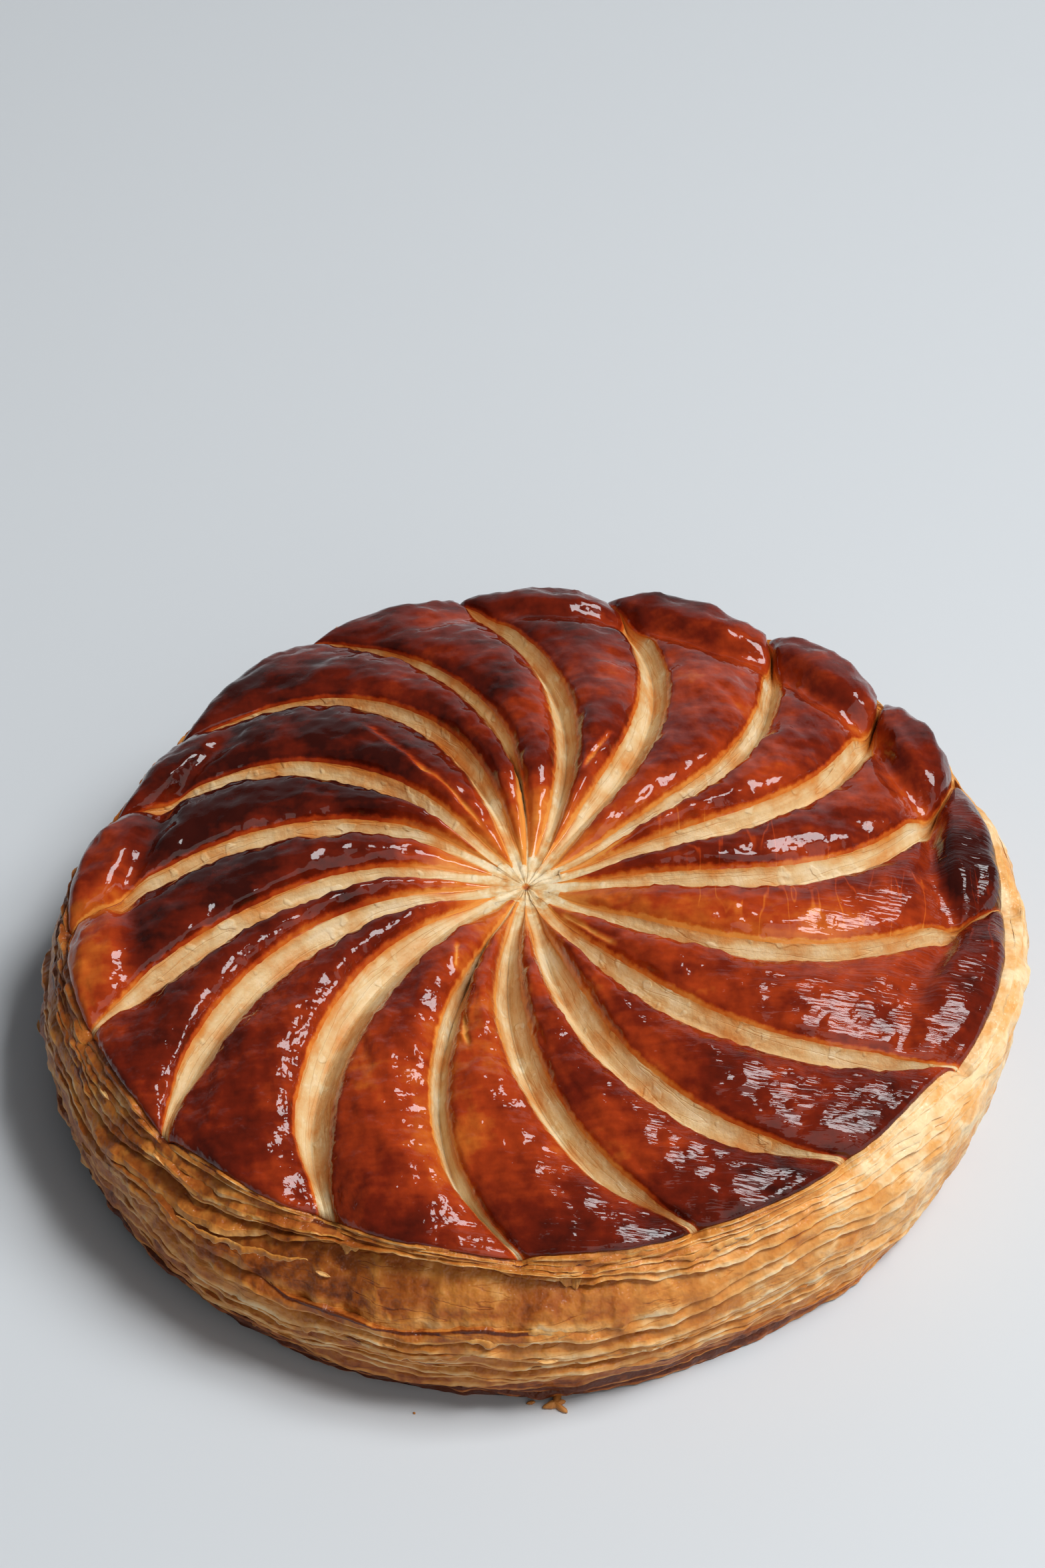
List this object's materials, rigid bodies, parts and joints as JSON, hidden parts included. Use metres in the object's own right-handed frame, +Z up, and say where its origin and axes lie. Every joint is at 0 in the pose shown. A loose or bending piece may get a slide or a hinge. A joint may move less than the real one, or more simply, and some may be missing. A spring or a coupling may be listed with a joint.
{
  "type": "galette des rois",
  "caption": "Round uncut puff-pastry cake with a glazed, domed lid whose curved cuts swirl out to a lobed rim, and a flaky, layered side.",
  "frame": {"origin": "middle of the bounding box in plan, on the flat bottom that the cake rests on", "axes": "+Z up through the lid, +X to the right and +Y away, as the cake is seen from its front"},
  "size_m": [0.2502, 0.2474, 0.062],
  "materials": {
    "baked_pastry": "egg-glazed baked puff pastry: glossy red-brown on the blades of the lid, orange in the hollows, matt cream in the cuts, matt golden tan on the flaky side"
  },
  "bodies": {
    "root": {"galette": "baked_pastry"}
  },
  "joints": []
}
